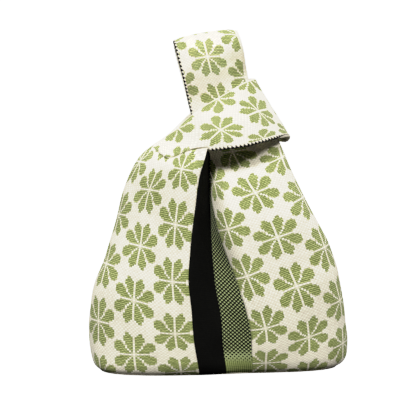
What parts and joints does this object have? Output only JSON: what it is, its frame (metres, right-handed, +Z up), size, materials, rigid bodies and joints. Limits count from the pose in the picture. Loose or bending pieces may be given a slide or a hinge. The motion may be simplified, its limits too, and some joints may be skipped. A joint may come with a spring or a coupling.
{
  "type": "japanese knot bag",
  "caption": "Knitted wrist bag with a flat base; its long strap passes through the short strap loop and draws the mouth shut, leaving a folding carrying handle on top",
  "frame": {"origin": "centre of the bounding box on the floor, under the base panel", "axes": "+Z up, front towards -Y, the long strap on the +X side at the shoulder"},
  "size_m": [0.2796, 0.116, 0.3631],
  "materials": {
    "jacquard_knit": "cream double knit with green rosettes",
    "black_knit": "plain black rib knit",
    "check_knit": "green and black one-stitch check knit",
    "base_knit": "cream double knit",
    "edging": "black and cream knitted edge"
  },
  "bodies": {
    "bag": {"left_front_panel": "jacquard_knit", "left_back_panel": "jacquard_knit", "right_front_panel": "jacquard_knit", "right_back_panel": "jacquard_knit", "front_black_stripe": "black_knit", "front_check_stripe": "check_knit", "back_black_stripe": "black_knit", "back_check_stripe": "check_knit", "base_panel": "base_knit", "base_seam": "edging", "short_loop": "jacquard_knit", "short_loop_lower_edge": "edging", "short_loop_upper_edge": "edging", "armhole_edge_front": "edging", "armhole_edge_back": "edging"},
    "strap": {"strap_front_leg": "jacquard_knit", "strap_back_leg": "jacquard_knit"},
    "handle": {"handle_strap": "jacquard_knit", "handle_left_edge": "edging", "handle_right_edge": "edging"}
  },
  "joints": [
    {"name": "strap_slide", "type": "slide", "parent": "bag", "child": "strap", "axis": [-0.2504, 0, 0.9681], "range_m": [0, 0.02]},
    {"name": "handle_fold", "type": "hinge", "parent": "strap", "child": "handle", "pos_m": [-0.00135, 0, 0.29776], "axis": [0.8647, 0, 0.5023], "range_deg": [-60, 60]}
  ]
}
